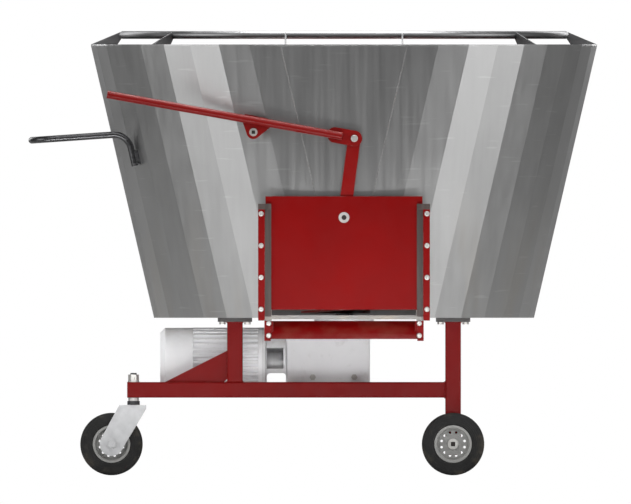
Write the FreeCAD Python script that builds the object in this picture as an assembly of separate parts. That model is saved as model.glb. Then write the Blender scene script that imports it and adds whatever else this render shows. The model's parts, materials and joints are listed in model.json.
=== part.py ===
import FreeCAD, Part
import math
import os

# A small mobile feed mixer: a faceted sheet-metal tub with a vertical auger, on a wheeled frame.
# Millimetres, +Z up. While it is built, X and Y are measured from the auger's axis and Z from
# the ground. The discharge door faces -Y. Every node is moved at the end, so that the origin
# lies under the middle of the whole machine.

Vec = FreeCAD.Vector

# ---------------------------------------------------------------- driving dimensions
# tub
TUB_RADIUS = 610.0          # circle through the corners of the faceted ends
FACETS = 19                 # flat facets on each rounded end
SHEET = 5.0                 # wall thickness of the tub
FLOOR_Z = 504.0             # underside of the floor
FLOOR_THICKNESS = 8.0
RIM_Z = 1379.0              # top of the rim flange
RIM_THICKNESS = 4.0
RIM_WIDTH = 50.0
TUB_SPREAD = 203.0          # how far each rounded end has moved outward at the rim

# spill ring above the rim
RING_TUBE_RADIUS = 12.5
RING_WALL = 2.6
RING_BEND_RADIUS = 504.0
RING_Z = 1409.0

# frame
TUBE = 50.0                 # square tube
TUBE_WALL = 4.0
TUBE_CORNER = 5.0
FRAME_Y = 380.0             # middle of each side beam from the machine's middle line
BEAM_Z = 248.5              # underside of the side beams
BEAM_LEFT_X = -694.0
POST_X = 349.0
POST_PLATE = 110.0
POST_PLATE_THICKNESS = 13.0
GUSSET_LENGTH = 199.0
GUSSET_HEIGHT = 100.5
CROSS_BEAM_X = (-625.0, -150.0, 45.0)

# wheels
WHEEL_RADIUS = 100.0
WHEEL_WIDTH = 50.0
RIM_DISC_RADIUS = 60.0
HUB_RADIUS = 18.0
HUB_LENGTH = 56.0
AXLE_RADIUS = 10.0
KING_X = -673.5
CASTER_TRAIL = 70.5

# discharge door, measured forward from the front of the tub
OPENING_HALF = 230.0
OPENING_TOP = 878.0
LINK_BACK = 12.0
LINK_THICKNESS = 8.0
DOOR_BACK = 22.0
DOOR_THICKNESS = 6.0
DOOR_HALF = 251.5
DOOR_BOTTOM = 530.0
DOOR_TOP = 893.0
DOOR_PIN_Z = 825.0
RAIL_OUTER = 275.0
RAIL_INNER = 233.0
RAIL_TOP = 869.0
RAIL_BOTTOM = 495.0

CHUTE_HALF = 232.0

# lever
LEVER_SLOPE = math.radians(-10.1)
LEVER_PIN_X, LEVER_PIN_Z = 33.0, 1078.0
PIVOT_X, PIVOT_Z = -290.0, 1098.0
LEVER_TUBE_RADIUS = 12.5
LEVER_PLATE_BACK = 21.0
LEVER_PLATE_THICKNESS = 6.0
LEVER_LEFT_X = -758.0
PIN_RADIUS = 8.0

# push handle
HANDLE_RADIUS = 10.65
HANDLE_END_X = -999.0
HANDLE_END_Z = 1072.0
HANDLE_HALF_Y = 280.0

# drive
MOTOR_Z = 363.0
MOTOR_RADIUS = 110.0
WORM_MODULE = 3.15
WHEEL_TEETH = 40
WORM_PITCH_RADIUS = 22.5
GEARBOX_X = (-186.0, 83.0)
GEARBOX_TOP = 432.0
GEARBOX_WALL = 12.0
SHAFT_RADIUS = 14.0
OUTPUT_RADIUS = 30.0

# auger
AUGER_BOTTOM = 518.0
AUGER_TOP = 1130.0
CORE_RADIUS = 84.0
CORE_WALL = 8.0
FLIGHT_BOTTOM_RADIUS = 572.0
FLIGHT_TOP_RADIUS = 170.0
FLIGHT_TURNS = 2.25
FLIGHT_START = math.radians(-104.0)
FLIGHT_THICKNESS = 8.0

RUNNING_FIT = 0.05          # radial clearance of every shaft in its bore

# ---------------------------------------------------------------- sizes that follow
SHELL_TOP = RIM_Z - RIM_THICKNESS
SHELL_HEIGHT = SHELL_TOP - FLOOR_Z
WALL_SLOPE = TUB_SPREAD / (RIM_Z - FLOOR_Z)
SHELL_SPREAD = WALL_SLOPE * SHELL_HEIGHT
HALF_FACET = math.pi / (2 * FACETS)
INNER_RADIUS = TUB_RADIUS - SHEET / math.cos(HALF_FACET)
FLOOR_TOP = FLOOR_Z + FLOOR_THICKNESS
BEAM_TOP = BEAM_Z + TUBE
HALF_TUBE = TUBE / 2
FRAME_INNER = FRAME_Y - HALF_TUBE
FRAME_OUTER = FRAME_Y + HALF_TUBE
POST_TOP = FLOOR_Z - POST_PLATE_THICKNESS
AXLE_Z = WHEEL_RADIUS
WORM_Y = -(WORM_MODULE * WHEEL_TEETH / 2 + WORM_PITCH_RADIUS)
WHEEL_PITCH_RADIUS = WORM_MODULE * WHEEL_TEETH / 2
FIXED_WHEEL_Y = FRAME_OUTER + 12.0 + HUB_LENGTH / 2
CASTER_X = KING_X - CASTER_TRAIL
PLATE_FRONT = LEVER_PLATE_BACK + LEVER_PLATE_THICKNESS
LEVER_TUBE_DEPTH = PLATE_FRONT + LEVER_TUBE_RADIUS - 1.5
DOOR_FRONT = DOOR_BACK + DOOR_THICKNESS
DOOR_GAP = 1.0
STRIP_BACK = DOOR_FRONT + DOOR_GAP
STRIP_THICKNESS = 6.0
CLAMP_BACK = STRIP_BACK + STRIP_THICKNESS
CLAMP_FRONT = CLAMP_BACK + STRIP_THICKNESS

# whole machine, for the origin
TOP_HALF_LENGTH = TUB_RADIUS * math.cos(HALF_FACET) + SHELL_SPREAD
MACHINE_LEFT = HANDLE_END_X - HANDLE_RADIUS
MACHINE_RIGHT = TOP_HALF_LENGTH
MACHINE_FRONT = -(TUB_RADIUS + LEVER_TUBE_DEPTH + LEVER_TUBE_RADIUS)
MACHINE_REAR = TUB_RADIUS
ORIGIN = Vec((MACHINE_LEFT + MACHINE_RIGHT) / 2, (MACHINE_FRONT + MACHINE_REAR) / 2, 0)

nodes = {}


# ---------------------------------------------------------------- shape helpers
def box(x, y, z):
    """A box between three pairs of limits."""
    low = Vec(min(x), min(y), min(z))
    high = Vec(max(x), max(y), max(z))
    return Part.makeBox(high.x - low.x, high.y - low.y, high.z - low.z, low)


def rod(axis, centre, span, radius):
    """A round bar along an axis, at two centre coordinates, between two limits."""
    low, high = min(span), max(span)
    starts = {"x": Vec(low, *centre), "y": Vec(centre[0], low, centre[1]), "z": Vec(*centre, low)}
    directions = {"x": Vec(1, 0, 0), "y": Vec(0, 1, 0), "z": Vec(0, 0, 1)}
    return Part.makeCylinder(radius, high - low, starts[axis], directions[axis])


def pipe(axis, centre, span, outer, inner):
    """A round bar with a hole through it."""
    return rod(axis, centre, span, outer).cut(rod(axis, centre, span, inner))


def prism(points, direction):
    """A closed outline pushed along a direction."""
    wire = Part.makePolygon(points + [points[0]])
    return Part.Face(wire).extrude(direction)


def plate_xz(points, depth):
    """A plate facing the front, from its X-Z outline and two Y limits."""
    low, high = min(depth), max(depth)
    return prism([Vec(x, low, z) for x, z in points], Vec(0, high - low, 0))


def plate_yz(points, width):
    """A plate facing sideways, from its Y-Z outline and two X limits."""
    low, high = min(width), max(width)
    return prism([Vec(low, y, z) for y, z in points], Vec(high - low, 0, 0))


def hexagon(axis, centre, span, flats):
    """A hexagonal head or nut, by its width across flats."""
    corner = flats / math.sqrt(3)
    ring = []
    for i in range(6):
        a = math.radians(60 * i)
        ring.append((corner * math.cos(a), corner * math.sin(a)))
    low, high = min(span), max(span)
    if axis == "x":
        points = [Vec(low, centre[0] + a, centre[1] + b) for a, b in ring]
        return prism(points, Vec(high - low, 0, 0))
    if axis == "y":
        points = [Vec(centre[0] + a, low, centre[1] + b) for a, b in ring]
        return prism(points, Vec(0, high - low, 0))
    points = [Vec(centre[0] + a, centre[1] + b, low) for a, b in ring]
    return prism(points, Vec(0, 0, high - low))


def square_tube(axis, x, y, z):
    """A hollow square tube with rounded corners, along one axis, between three pairs of limits."""
    outer = box(x, y, z)
    along = {"x": Vec(1, 0, 0), "y": Vec(0, 1, 0), "z": Vec(0, 0, 1)}[axis]
    edges = [e for e in outer.Edges if abs(abs(e.tangentAt(e.FirstParameter).dot(along)) - 1) < 1e-6]
    outer = outer.makeFillet(TUBE_CORNER, edges)
    shrink = {"x": (0, 1, 1), "y": (1, 0, 1), "z": (1, 1, 0)}[axis]
    limits = []
    for span, is_wall in zip((x, y, z), shrink):
        limits.append((min(span) + TUBE_WALL * is_wall, max(span) - TUBE_WALL * is_wall))
    return outer.cut(box(*limits))


def forward(depth):
    """The Y of a plane that stands a given depth in front of the tub."""
    return -(TUB_RADIUS + depth)


def obround(a, b, radius, depth):
    """A flat bar facing the front with round ends, around two X-Z points."""
    length = math.dist(a, b)
    across = ((b[1] - a[1]) / length * radius, -(b[0] - a[0]) / length * radius)
    corners = [
        (a[0] + across[0], a[1] + across[1]),
        (b[0] + across[0], b[1] + across[1]),
        (b[0] - across[0], b[1] - across[1]),
        (a[0] - across[0], a[1] - across[1]),
    ]
    bar = plate_xz(corners, depth)
    return bar.fuse([rod("y", a, depth, radius), rod("y", b, depth, radius)]).removeSplitter()


def tangent_point(outside, centre, radius, side):
    """Where a line from an outside point touches a circle, on its left (1) or right (-1)."""
    gap = math.dist(outside, centre)
    towards = math.atan2(outside[1] - centre[1], outside[0] - centre[0])
    angle = towards + side * math.acos(radius / gap)
    return (centre[0] + radius * math.cos(angle), centre[1] + radius * math.sin(angle))


def revolve_y(profile, centre):
    """A turned solid about a Y axis, from (radius, y) points."""
    points = [Vec(centre[0] + r, y, centre[1]) for r, y in profile]
    wire = Part.makePolygon(points + [points[0]])
    return Part.Face(wire).revolve(Vec(centre[0], 0, centre[1]), Vec(0, 1, 0), 360)


def revolve_x(profile, centre):
    """A turned solid about an X axis, from (x, radius) points."""
    points = [Vec(x, centre[0], centre[1] + r) for x, r in profile]
    wire = Part.makePolygon(points + [points[0]])
    return Part.Face(wire).revolve(Vec(0, *centre), Vec(1, 0, 0), 360)


def rounded_path(points, radii):
    """Straight runs through the points, joined by tangent arcs at the inner ones."""
    edges = []
    start = points[0]
    for i, radius in enumerate(radii, start=1):
        back = (points[i - 1] - points[i]).normalize()
        ahead = (points[i + 1] - points[i]).normalize()
        half_angle = back.getAngle(ahead) / 2
        reach = radius / math.tan(half_angle)
        first = points[i] + back * reach
        last = points[i] + ahead * reach
        middle_way = (back + ahead).normalize()
        middle = points[i] + middle_way * (radius / math.sin(half_angle) - radius)
        edges.append(Part.LineSegment(start, first).toShape())
        edges.append(Part.Arc(first, middle, last).toShape())
        start = last
    edges.append(Part.LineSegment(start, points[-1]).toShape())
    return Part.Wire(edges)


def round_sweep(path, radius):
    """A solid round bar along a path."""
    start = path.Edges[0]
    point = start.valueAt(start.FirstParameter)
    heading = start.tangentAt(start.FirstParameter)
    circle = Part.Wire(Part.makeCircle(radius, point, heading))
    return path.makePipeShell([circle], True, False)


def both_sides():
    return (-1, 1)


def add(name, *solids):
    nodes[name] = list(solids)


# ---------------------------------------------------------------- tub
def half_outline(radius, side, z):
    """Corners of one faceted end, from the front to the rear, at a height."""
    points = []
    for i in range(FACETS + 1):
        a = math.pi * i / FACETS
        points.append(Vec(side * radius * math.sin(a), -radius * math.cos(a), z))
    return points


def rim_outline(radius, z):
    """The whole outline of the tub at its rim: both faceted ends moved apart."""
    right = [p + Vec(SHELL_SPREAD, 0, 0) for p in half_outline(radius, 1, z)]
    left = [p - Vec(SHELL_SPREAD, 0, 0) for p in half_outline(radius, -1, z)]
    return right + left[::-1]


def tub_envelope():
    """The tub as a filled block, which trims whatever is welded to its outside."""
    blocks = []
    for side in both_sides():
        outline = half_outline(TUB_RADIUS, side, FLOOR_Z)
        blocks.append(prism(outline, Vec(side * SHELL_SPREAD, 0, SHELL_HEIGHT)))
    wedge = [(0, FLOOR_Z), (SHELL_SPREAD, SHELL_TOP), (-SHELL_SPREAD, SHELL_TOP)]
    blocks.append(plate_xz(wedge, (-TUB_RADIUS, TUB_RADIUS)))
    return blocks[0].fuse(blocks[1:])


def opening_block(bottom):
    """The space cut out of the front wall for the discharge opening."""
    deep = TUB_RADIUS - 130
    return box((-OPENING_HALF, OPENING_HALF), (-TUB_RADIUS - 1, -deep), (bottom, OPENING_TOP))


def tub_shell(side):
    outer = half_outline(TUB_RADIUS, side, FLOOR_Z)
    inner = half_outline(INNER_RADIUS, side, FLOOR_Z)
    shell = prism(outer + inner[::-1], Vec(side * SHELL_SPREAD, 0, SHELL_HEIGHT))
    return shell.cut(opening_block(FLOOR_TOP))


def tub_panel(side):
    """The flat triangular panel between the two rounded ends, at the front or the rear."""
    wedge = [(0, FLOOR_Z), (SHELL_SPREAD, SHELL_TOP), (-SHELL_SPREAD, SHELL_TOP)]
    panel = plate_xz(wedge, (side * INNER_RADIUS, side * TUB_RADIUS))
    if side < 0:
        panel = panel.cut(opening_block(FLOOR_Z - 1))
    return panel


def post_bolt_places():
    reach = POST_PLATE / 2 - 15
    for x in (-POST_X, POST_X):
        for y in (-FRAME_Y, FRAME_Y):
            for dx in (-reach, reach):
                for dy in (-reach, reach):
                    yield x + dx, y + dy


def tub_floor():
    left = half_outline(INNER_RADIUS, -1, FLOOR_Z)
    right = half_outline(INNER_RADIUS, 1, FLOOR_Z)
    floor = prism(right + left[-2:0:-1], Vec(0, 0, FLOOR_THICKNESS))
    holes = [rod("z", (0, 0), (FLOOR_Z - 1, FLOOR_TOP + 1), 45.0)]
    for x, y in post_bolt_places():
        holes.append(rod("z", (x, y), (FLOOR_Z - 1, FLOOR_TOP + 1), 6.0))
    return floor.cut(holes)


def rim_flange():
    flange = prism(rim_outline(TUB_RADIUS, SHELL_TOP), Vec(0, 0, RIM_THICKNESS))
    inside = prism(rim_outline(TUB_RADIUS - RIM_WIDTH, SHELL_TOP), Vec(0, 0, RIM_THICKNESS))
    return flange.cut(inside)


def ring_bar(radius):
    """The spill ring's round bar: two half rings joined by two straight runs."""
    pieces = []
    for side in both_sides():
        half = Part.makeTorus(RING_BEND_RADIUS, radius, Vec(0, 0, 0), Vec(0, 0, 1), 0, 360, 180)
        half.rotate(Vec(0, 0, 0), Vec(0, 0, 1), -90 * side)
        half.translate(Vec(side * TUB_SPREAD, 0, RING_Z))
        pieces.append(half)
        along = (-TUB_SPREAD, TUB_SPREAD)
        pieces.append(rod("x", (side * RING_BEND_RADIUS, RING_Z), along, radius))
    return pieces[0].fuse(pieces[1:])


def stay_places():
    """Where the ten stays stand: the middle of the end they belong to, and their bearing."""
    for side in both_sides():
        yield side * TUB_SPREAD, math.pi / 2 - side * math.pi / 2
        for bearing in (1, -1):
            yield side * TUB_SPREAD, math.pi / 2 - side * (math.pi / 2 - bearing * math.radians(47.4))
            yield side * (TUB_SPREAD - 16), bearing * math.pi / 2


def ring_stay(centre_x, bearing, ring):
    """A flat radial plate that rises from the rim to the spill ring."""
    outside = TUB_RADIUS * math.cos(HALF_FACET) - 1.5
    outline = [
        (outside, RIM_Z),
        (outside - 85, RIM_Z),
        (RING_BEND_RADIUS, RING_Z - 4),
        (RING_BEND_RADIUS, RING_Z + 6),
        (RING_BEND_RADIUS + 10, RING_Z + 9),
    ]
    half = 2.5
    plate = prism([Vec(r, -half, z) for r, z in outline], Vec(0, 2 * half, 0))
    plate.rotate(Vec(0, 0, 0), Vec(0, 0, 1), math.degrees(bearing))
    plate.translate(Vec(centre_x, 0, 0))
    return plate.cut(ring)


def spill_ring_parts():
    solid_ring = ring_bar(RING_TUBE_RADIUS)
    ring = solid_ring.cut(ring_bar(RING_TUBE_RADIUS - RING_WALL))
    stays = [ring_stay(x, bearing, solid_ring) for x, bearing in stay_places()]
    return ring, stays


# ---------------------------------------------------------------- discharge door
def door_frame(envelope):
    """Jambs, header and sill that carry the flat door in front of the round wall."""
    deep = -(TUB_RADIUS - 70)
    pieces = []
    for side in both_sides():
        jamb = box((side * 231, side * 237), (forward(21), deep), (FLOOR_Z, OPENING_TOP + 6))
        flange = box((side * 231, side * RAIL_OUTER), (forward(14), forward(21)), (RAIL_BOTTOM, RAIL_TOP))
        spacer = box((side * 253, side * RAIL_OUTER), (forward(21), forward(STRIP_BACK)),
                     (RAIL_BOTTOM, RAIL_TOP))
        pieces += [jamb, flange, spacer]
    pieces.append(box((-231, 231), (forward(2), deep), (OPENING_TOP, OPENING_TOP + 6)))
    pieces.append(box((-231, 231), (forward(21), deep), (FLOOR_Z, FLOOR_TOP)))
    pieces.append(box((-231, 231), (forward(21), forward(15)), (FLOOR_Z - 5, FLOOR_Z)))
    frame = pieces[0].fuse(pieces[1:]).cut(envelope)
    return frame.cut(rail_bolt_shanks()).removeSplitter()


def rail_bolt_places():
    for side in both_sides():
        for i in range(4):
            yield side * 265.5, 837.0 - 102.0 * i


def rail_bolt_shanks():
    return [rod("y", place, (forward(10), forward(CLAMP_FRONT)), 4.0) for place in rail_bolt_places()]


def guide_strip(side):
    """The dark wear strip that keeps the door in, with its end block on top."""
    strip = box((side * RAIL_INNER, side * RAIL_OUTER), (forward(STRIP_BACK), forward(CLAMP_BACK)),
                (FLOOR_Z + 4, RAIL_TOP))
    block = box((side * RAIL_INNER, side * RAIL_OUTER), (forward(CLAMP_BACK), forward(CLAMP_FRONT)),
                (RAIL_TOP - 18, RAIL_TOP))
    return strip.fuse(block).cut(rail_bolt_shanks()).removeSplitter()


def clamp_strip(side):
    """The painted bar that clamps the wear strip, with rounded lower corners."""
    x = (side * 253.5, side * RAIL_OUTER)
    bar = box(x, (forward(CLAMP_BACK), forward(CLAMP_FRONT)), (RAIL_BOTTOM, RAIL_TOP - 18))
    corners = [e for e in bar.Edges if e.BoundBox.ZMax < RAIL_BOTTOM + 1 and e.BoundBox.YLength > 1]
    return bar.makeFillet(6.0, corners).cut(rail_bolt_shanks())


def button_bolt(place, under_head, tip):
    """A button-head bolt along Y, with its head to the front and its nut behind."""
    head = rod("y", place, (forward(under_head), forward(under_head + 6)), 8.5)
    rim = [e for e in head.Edges if e.BoundBox.YMax < forward(under_head + 6) + 0.01]
    head = head.makeFillet(3.5, rim)
    bolt = head.fuse(rod("y", place, (forward(tip), forward(under_head)), 4.0))
    return bolt.cut(rod("y", place, (forward(under_head + 3), forward(under_head + 7)), 3.0))


def nut_y(place, front, back, flats, hole):
    return hexagon("y", place, (forward(front), forward(back)), flats).cut(
        rod("y", place, (forward(front), forward(back)), hole))


def button_bolts():
    """The bolts and nuts of the two clamp strips and of the chute."""
    solids = []
    for place in rail_bolt_places():
        solids.append(button_bolt(place, CLAMP_FRONT, 8))
        solids.append(nut_y(place, 8.5, 14, 13.0, 4.0))
    for place in chute_bolt_places():
        solids.append(button_bolt(place, 25, 5))
        solids.append(nut_y(place, 6, 14, 13.0, 4.0))
    return solids


def door_plate():
    plate = box((-DOOR_HALF, DOOR_HALF), (forward(DOOR_BACK), forward(DOOR_FRONT)),
                (DOOR_BOTTOM, DOOR_TOP))
    return plate.cut(rod("y", (0, DOOR_PIN_Z), (forward(0), forward(60)), PIN_RADIUS))


def door_pin():
    """The pin through the door, with a washer in front and a collar behind the link."""
    place = (0, DOOR_PIN_Z)
    pin = rod("y", place, (forward(4), forward(DOOR_FRONT + 4)), PIN_RADIUS)
    washer = pipe("y", place, (forward(DOOR_FRONT), forward(DOOR_FRONT + 3)), 17.0, PIN_RADIUS)
    collar = pipe("y", place, (forward(6), forward(11)), 21.0, PIN_RADIUS)
    return [pin, washer, collar]


# ---------------------------------------------------------------- chute under the door
def chute_bolt_places():
    for side in both_sides():
        for z in (486.0, 447.0):
            yield side * 241.0, z


def chute_shanks():
    return [rod("y", place, (forward(0), forward(31)), 4.0) for place in chute_bolt_places()]


def chute_bracket(side):
    """An angle bracket under the floor, with a front flange for two bolts."""
    flange = box((side * 234.5, side * 255), (forward(19), forward(25)), (430, RAIL_BOTTOM - 0.5))
    web = box((side * 249, side * 255), (forward(19), -470), (430, RAIL_BOTTOM - 0.5))
    riser = box((side * 249, side * 255), (-470, -550), (RAIL_BOTTOM - 0.5, FLOOR_Z))
    return flange.fuse([web, riser]).cut(chute_shanks()).removeSplitter()


def chute_plate():
    """The folded deflector: a sloping apron with a cheek and a bolting ear at each end."""
    top, bottom = 494.0, 436.0
    apron = plate_yz([(forward(-22), top), (forward(-17), top), (forward(43), bottom), (forward(38), bottom)],
                     (-CHUTE_HALF, CHUTE_HALF))
    pieces = [apron]
    for side in both_sides():
        cheek = [(forward(-22), top), (forward(18), top), (forward(18), 459.0), (forward(14), 459.0)]
        pieces.append(plate_yz(cheek, (side * (CHUTE_HALF - SHEET), side * CHUTE_HALF)))
        ear = (side * (CHUTE_HALF - SHEET), side * 248.5)
        pieces.append(box(ear, (forward(14), forward(18.5)), (bottom, top)))
    return pieces[0].fuse(pieces[1:]).cut(chute_shanks()).removeSplitter()


# ---------------------------------------------------------------- lever and link
def lever_axis_z(x):
    """Height of the lever tube's middle line."""
    return LEVER_PIN_Z + (x - LEVER_PIN_X) * math.tan(LEVER_SLOPE)


def lever_tube(radius):
    start = Vec(LEVER_LEFT_X, forward(LEVER_TUBE_DEPTH), lever_axis_z(LEVER_LEFT_X))
    end = Vec(-6.0, forward(LEVER_TUBE_DEPTH), lever_axis_z(-6.0))
    return Part.makeCylinder(radius, (end - start).Length, start, end - start)


def pivot_plate(depth):
    """The plate that hangs below the lever tube and narrows around the pivot."""
    above, below, lobe = 15.5, 12.5, 22.0
    left, right = -324.0, -236.0
    pivot = (PIVOT_X, PIVOT_Z)
    low_left = (left, lever_axis_z(left) - below)
    low_right = (right, lever_axis_z(right) - below)
    outline = [
        (left + 6, lever_axis_z(left) + above),
        (right - 8, lever_axis_z(right) + above),
        low_right,
        tangent_point(low_right, pivot, lobe, -1),
        tangent_point(low_left, pivot, lobe, 1),
        low_left,
    ]
    return plate_xz(outline, depth).fuse(rod("y", pivot, depth, lobe)).removeSplitter()


def end_plate(depth):
    """The plate at the lever's right end, which carries the link."""
    inner_x = LEVER_PIN_X - 62.0
    return obround((inner_x, lever_axis_z(inner_x)), (LEVER_PIN_X, LEVER_PIN_Z), 25.0, depth)


def lever_parts():
    depth = (forward(LEVER_PLATE_BACK), forward(PLATE_FRONT))
    bar = lever_tube(LEVER_TUBE_RADIUS)
    pivot = pivot_plate(depth).cut(bar)
    pivot = pivot.cut(rod("y", (PIVOT_X, PIVOT_Z), (forward(0), forward(60)), PIN_RADIUS + RUNNING_FIT))
    end = end_plate(depth).cut(bar)
    end = end.cut(rod("y", (LEVER_PIN_X, LEVER_PIN_Z), (forward(0), forward(60)), PIN_RADIUS))
    hollow = bar.cut(lever_tube(LEVER_TUBE_RADIUS - 2.6))
    return [hollow, pivot, end]


def lever_bolt():
    """The bolt through the lever's end plate and the link, with its nut behind."""
    place = (LEVER_PIN_X, LEVER_PIN_Z)
    head = rod("y", place, (forward(PLATE_FRONT), forward(PLATE_FRONT + 7)), 11.5)
    rim = [e for e in head.Edges if e.BoundBox.YMax < forward(PLATE_FRONT + 7) + 0.01]
    head = head.makeFillet(3.0, rim)
    shank = rod("y", place, (forward(3.5), forward(PLATE_FRONT)), PIN_RADIUS)
    return [head.fuse(shank), nut_y(place, 4, 11, 24.0, PIN_RADIUS)]


def lever_boss(envelope):
    """The boss and stud welded to the wall, and the round nut that holds the lever on."""
    place = (PIVOT_X, PIVOT_Z)
    boss = rod("y", place, (forward(20), forward(-80)), 18.0).cut(envelope)
    stud = rod("y", place, (forward(33), forward(20)), PIN_RADIUS)
    square = box((PIVOT_X - 5.5, PIVOT_X + 5.5), (forward(33), forward(40)),
                 (PIVOT_Z - 5.5, PIVOT_Z + 5.5))
    nut = pipe("y", place, (forward(PLATE_FRONT + 0.5), forward(33)), 13.0, PIN_RADIUS)
    return [boss.fuse([stud, square]), nut]


def link_bar():
    """The link: a round eye on the lever bolt and a slotted foot around the door pin."""
    depth = (forward(LINK_BACK), forward(LINK_BACK + LINK_THICKNESS))
    top, foot = (LEVER_PIN_X, LEVER_PIN_Z), (0.0, DOOR_PIN_Z)
    bar = obround(top, foot, 20.5, depth).fuse(rod("y", foot, depth, 30.0))
    slot = obround((-7.6, DOOR_PIN_Z), (7.6, DOOR_PIN_Z), 11.0, (forward(0), forward(60)))
    eye = rod("y", top, (forward(0), forward(60)), PIN_RADIUS + RUNNING_FIT)
    return bar.cut([slot, eye]).removeSplitter()


# ---------------------------------------------------------------- push handle
def push_handle(envelope):
    """A bent tube whose two legs are welded to pads on the tub's left end."""
    y = HANDLE_HALF_Y
    low = (-669.0, 990.0)
    knee = (-692.5, 1093.0)
    points = [
        Vec(low[0], -y, low[1]),
        Vec(knee[0], -y, knee[1]),
        Vec(HANDLE_END_X, -y, HANDLE_END_Z),
        Vec(HANDLE_END_X, y, HANDLE_END_Z),
        Vec(knee[0], y, knee[1]),
        Vec(low[0], y, low[1]),
    ]
    path = rounded_path(points, (55.0, 60.0, 60.0, 55.0))
    bar = round_sweep(path, HANDLE_RADIUS)
    tube = bar.cut(round_sweep(path, HANDLE_RADIUS - 2.3))
    pads = []
    for side in both_sides():
        pad = box((-690, -640), (side * (y - 8), side * (y + 8)), (996, 1040))
        pads.append(pad.cut([envelope, bar]))
    pads = [max(pad.Solids, key=lambda solid: solid.Volume) for pad in pads]
    return [tube] + pads


# ---------------------------------------------------------------- frame
def side_beam(side):
    y = (side * FRAME_INNER, side * FRAME_OUTER)
    beam = square_tube("x", (BEAM_LEFT_X, POST_X - HALF_TUBE), y, (BEAM_Z, BEAM_TOP))
    return beam.cut(rod("z", (KING_X, side * FRAME_Y), (BEAM_Z - 1, BEAM_TOP + 1), AXLE_RADIUS))


def cross_beams():
    span = (-FRAME_INNER, FRAME_INNER)
    places = CROSS_BEAM_X + (POST_X,)
    return [square_tube("y", (x - HALF_TUBE, x + HALF_TUBE), span, (BEAM_Z, BEAM_TOP)) for x in places]


def posts():
    solids = []
    for side in both_sides():
        y = (side * FRAME_INNER, side * FRAME_OUTER)
        left = square_tube("z", (-POST_X - HALF_TUBE, -POST_X + HALF_TUBE), y, (BEAM_TOP, POST_TOP))
        right = square_tube("z", (POST_X - HALF_TUBE, POST_X + HALF_TUBE), y, (AXLE_Z - 35, POST_TOP))
        right = right.cut(rod("y", (POST_X, AXLE_Z), (side * 300, side * 500), AXLE_RADIUS))
        solids += [left, right]
    return solids


def post_plates():
    """Square plates on the posts, bolted under the tub's floor."""
    half = POST_PLATE / 2
    solids = []
    for x in (-POST_X, POST_X):
        for y in (-FRAME_Y, FRAME_Y):
            plate = box((x - half, x + half), (y - half, y + half), (POST_TOP, FLOOR_Z))
            shanks = [rod("z", p, (POST_TOP - 1, FLOOR_Z + 1), 6.0) for p in post_bolt_places()]
            solids.append(plate.cut(shanks))
    return solids


def gussets():
    """The triangular plates that brace the left posts, with a corner cut off for the weld."""
    post_side = -POST_X - HALF_TUBE
    outline = [
        (post_side, BEAM_TOP + 10),
        (post_side - 10, BEAM_TOP),
        (post_side - GUSSET_LENGTH, BEAM_TOP),
        (post_side, BEAM_TOP + GUSSET_HEIGHT),
    ]
    return [plate_xz(outline, (y - 4, y + 4)) for y in (-FRAME_Y, FRAME_Y)]


def hex_bolts():
    """The bolts that hold the tub on the posts, the gearbox cover and the gearbox on its beams."""
    solids = []
    for x, y in post_bolt_places():
        head = hexagon("z", (x, y), (POST_TOP - 8, POST_TOP), 18.0)
        solids.append(head.fuse(rod("z", (x, y), (POST_TOP, FLOOR_TOP), 6.0)))
    for x, y in cover_bolt_places():
        head = hexagon("z", (x, y), (GEARBOX_TOP + 12, GEARBOX_TOP + 18), 13.0)
        solids.append(head.fuse(rod("z", (x, y), (GEARBOX_TOP - 20, GEARBOX_TOP + 12), 4.0)))
    for x in (-100.0, 33.0):
        place = (x, 314.0)
        front = gearbox_y()[0]
        head = hexagon("y", place, (front - 8, front), 18.0)
        solids.append(head.fuse(rod("y", place, (front, front + 9), 6.0)))
    return solids


# ---------------------------------------------------------------- wheels
def wheel_rim(x, y):
    """The pressed disc, rim and hub of a wheel, with a ring of small holes."""
    half, hub = 22.0, HUB_LENGTH / 2
    bore = AXLE_RADIUS + RUNNING_FIT
    profile = [
        (bore, y - hub), (HUB_RADIUS, y - hub), (HUB_RADIUS, y - 4), (50, y - 4), (50, y - half + 3),
        (53, y - half), (RIM_DISC_RADIUS, y - half), (RIM_DISC_RADIUS, y + half), (53, y + half),
        (50, y + half - 3), (50, y + 4), (HUB_RADIUS, y + 4), (HUB_RADIUS, y + hub), (bore, y + hub),
    ]
    rim = revolve_y(profile, (x, AXLE_Z))
    holes = []
    for i in range(12):
        a = math.radians(30 * i + 15)
        place = (x + 38 * math.cos(a), AXLE_Z + 38 * math.sin(a))
        holes.append(rod("y", place, (y - 5, y + 5), 4.0))
    return rim.cut(holes)


def tyre(x, y):
    """A solid rubber tyre with rounded shoulders and two tread grooves."""
    half = WHEEL_WIDTH / 2
    body = revolve_y([
        (RIM_DISC_RADIUS, y - 22), (RIM_DISC_RADIUS + 4, y - half), (WHEEL_RADIUS, y - half),
        (WHEEL_RADIUS, y + half), (RIM_DISC_RADIUS + 4, y + half), (RIM_DISC_RADIUS, y + 22),
    ], (x, AXLE_Z))
    shoulders = [e for e in body.Edges if abs(e.BoundBox.ZMax - (AXLE_Z + WHEEL_RADIUS)) < 0.01
                 and e.BoundBox.YLength < 0.01]
    body = body.makeFillet(11.0, shoulders)
    grooves = []
    for offset in (-7.0, 7.0):
        span = (y + offset - 1.5, y + offset + 1.5)
        grooves.append(pipe("y", (x, AXLE_Z), span, WHEEL_RADIUS + 5, WHEEL_RADIUS - 4))
    return body.cut(grooves)


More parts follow.
